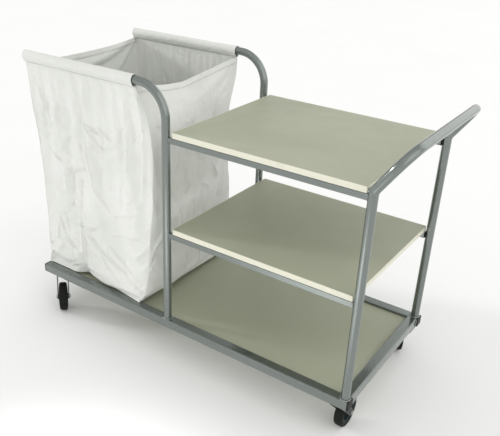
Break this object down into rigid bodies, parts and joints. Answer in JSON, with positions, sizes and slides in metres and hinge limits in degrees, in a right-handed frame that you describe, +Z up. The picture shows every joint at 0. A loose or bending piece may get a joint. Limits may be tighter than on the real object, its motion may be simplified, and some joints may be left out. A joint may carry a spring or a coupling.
{
  "type": "housekeeping cart",
  "caption": "Open welded-tube service cart with a base deck, two shelves, a push handle and a cloth laundry bag hung on cantilever arms, rolling on swivel casters.",
  "frame": {"origin": "centre of the footprint's bounding box, on the floor", "axes": "+X along the cart from the bag end to the handle end, +Y from the front long side to the rear long side, +Z up"},
  "size_m": [1.2734, 0.622, 0.9146],
  "materials": {
    "silver_paint": "silver-grey metallic powder coat, satin",
    "board_laminate": "plain olive-grey melamine laminate on chipboard, satin",
    "board_edging": "cream plastic edge band, satin",
    "cap_plastic": "moulded black plastic, fine grain",
    "zinc_steel": "zinc-plated pressed steel, semi-bright",
    "tyre_rubber": "matt black moulded rubber",
    "hub_nylon": "dark grey moulded nylon",
    "bag_cloth": "plain white woven polyester-cotton, creased"
  },
  "bodies": {
    "frame": {"base_rail_front": "silver_paint", "base_rail_rear": "silver_paint", "base_rail_left": "silver_paint", "base_rail_right": "silver_paint", "rail_cap_front_left": "cap_plastic", "rail_cap_front_right": "cap_plastic", "rail_cap_rear_left": "cap_plastic", "rail_cap_rear_right": "cap_plastic", "corner_gusset_front_left": "silver_paint", "corner_gusset_front_right": "silver_paint", "corner_gusset_rear_left": "silver_paint", "corner_gusset_rear_right": "silver_paint", "base_support_left": "silver_paint", "base_support_middle": "silver_paint", "base_support_right": "silver_paint", "base_board": "board_laminate", "arm_post_front": "silver_paint", "arm_post_rear": "silver_paint", "arm_cap_front": "cap_plastic", "arm_cap_rear": "cap_plastic", "end_post_front": "silver_paint", "end_post_rear": "silver_paint", "push_handle": "silver_paint", "middle_shelf_rail_front": "silver_paint", "middle_shelf_rail_rear": "silver_paint", "middle_shelf_cross_left": "silver_paint", "middle_shelf_cross_right": "silver_paint", "middle_shelf_board": "board_laminate", "middle_shelf_edging": "board_edging", "top_shelf_rail_front": "silver_paint", "top_shelf_rail_rear": "silver_paint", "top_shelf_cross_left": "silver_paint", "top_shelf_cross_right": "silver_paint", "top_shelf_board": "board_laminate", "top_shelf_edging": "board_edging", "caster_plate_front_left": "zinc_steel", "caster_plate_front_right": "zinc_steel", "caster_plate_rear_left": "zinc_steel", "caster_plate_rear_right": "zinc_steel"},
    "bag": {"laundry_bag": "bag_cloth"},
    "caster_front_left": {"caster_fork_front_left": "zinc_steel", "axle_bolt_front_left": "zinc_steel"},
    "wheel_front_left": {"tyre_front_left": "tyre_rubber", "wheel_hub_front_left": "hub_nylon"},
    "caster_front_right": {"caster_fork_front_right": "zinc_steel", "axle_bolt_front_right": "zinc_steel"},
    "wheel_front_right": {"tyre_front_right": "tyre_rubber", "wheel_hub_front_right": "hub_nylon"},
    "caster_rear_left": {"caster_fork_rear_left": "zinc_steel", "axle_bolt_rear_left": "zinc_steel"},
    "wheel_rear_left": {"tyre_rear_left": "tyre_rubber", "wheel_hub_rear_left": "hub_nylon"},
    "caster_rear_right": {"caster_fork_rear_right": "zinc_steel", "axle_bolt_rear_right": "zinc_steel"},
    "wheel_rear_right": {"tyre_rear_right": "tyre_rubber", "wheel_hub_rear_right": "hub_nylon"}
  },
  "joints": [
    {"name": "bag_pull_off", "type": "slide", "parent": "frame", "child": "bag", "axis": [-1, 0, 0], "range_m": [0, 0.5]},
    {"name": "swivel_front_left", "type": "hinge", "parent": "frame", "child": "caster_front_left", "pos_m": [-0.58874, -0.23474, 0.1], "axis": [0, 0, 1], "continuous": true},
    {"name": "roll_front_left", "type": "hinge", "parent": "caster_front_left", "child": "wheel_front_left", "pos_m": [-0.55206, -0.27017, 0.05], "axis": [0.6947, 0.7193, 0], "continuous": true},
    {"name": "swivel_front_right", "type": "hinge", "parent": "frame", "child": "caster_front_right", "pos_m": [0.52526, -0.23474, 0.1], "axis": [0, 0, 1], "continuous": true},
    {"name": "roll_front_right", "type": "hinge", "parent": "caster_front_right", "child": "wheel_front_right", "pos_m": [0.52526, -0.18374, 0.05], "axis": [-1, 0, 0], "continuous": true},
    {"name": "swivel_rear_left", "type": "hinge", "parent": "frame", "child": "caster_rear_left", "pos_m": [-0.58874, 0.21126, 0.1], "axis": [0, 0, 1], "continuous": true},
    {"name": "roll_rear_left", "type": "hinge", "parent": "caster_rear_left", "child": "wheel_rear_left", "pos_m": [-0.57554, 0.26052, 0.05], "axis": [-0.9659, 0.2588, 0], "continuous": true},
    {"name": "swivel_rear_right", "type": "hinge", "parent": "frame", "child": "caster_rear_right", "pos_m": [0.52526, 0.21126, 0.1], "axis": [0, 0, 1], "continuous": true},
    {"name": "roll_rear_right", "type": "hinge", "parent": "caster_rear_right", "child": "wheel_rear_right", "pos_m": [0.50451, 0.25785, 0.05], "axis": [-0.9135, -0.4067, 0], "continuous": true}
  ]
}
